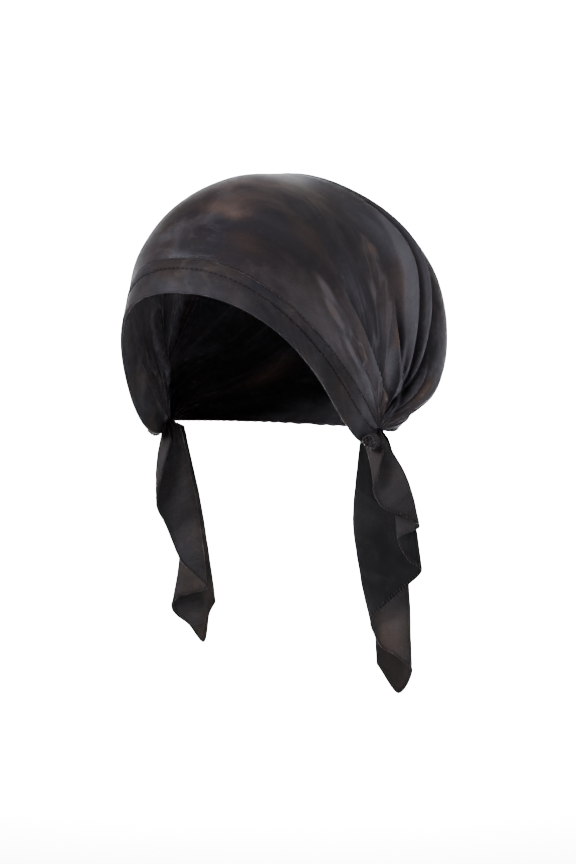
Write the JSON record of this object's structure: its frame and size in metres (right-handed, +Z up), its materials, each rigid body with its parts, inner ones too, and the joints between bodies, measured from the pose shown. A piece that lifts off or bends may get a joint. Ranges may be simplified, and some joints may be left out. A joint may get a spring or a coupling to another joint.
{
  "type": "turban cap",
  "caption": "Ready-tied jersey turban cap with a stitched brow band, side gathers and a ruffled tail hanging from each knot.",
  "frame": {"origin": "on the inside of the crown, where it rests on the top of the head", "axes": "+Z up, the brow faces -Y, +X towards the wearer's left"},
  "size_m": [0.2015, 0.2194, 0.3171],
  "materials": {
    "crown_jersey": "soft satin jersey, tie-dyed charcoal and brown",
    "band_jersey": "folded and stitched jersey",
    "knot_jersey": "ruched jersey",
    "tail_jersey": "jersey with an overlocked hem"
  },
  "bodies": {
    "root": {"crown": "crown_jersey", "brow_band": "band_jersey", "knot_left": "knot_jersey", "knot_right": "knot_jersey", "tail_left": "tail_jersey", "tail_right": "tail_jersey"}
  },
  "joints": []
}
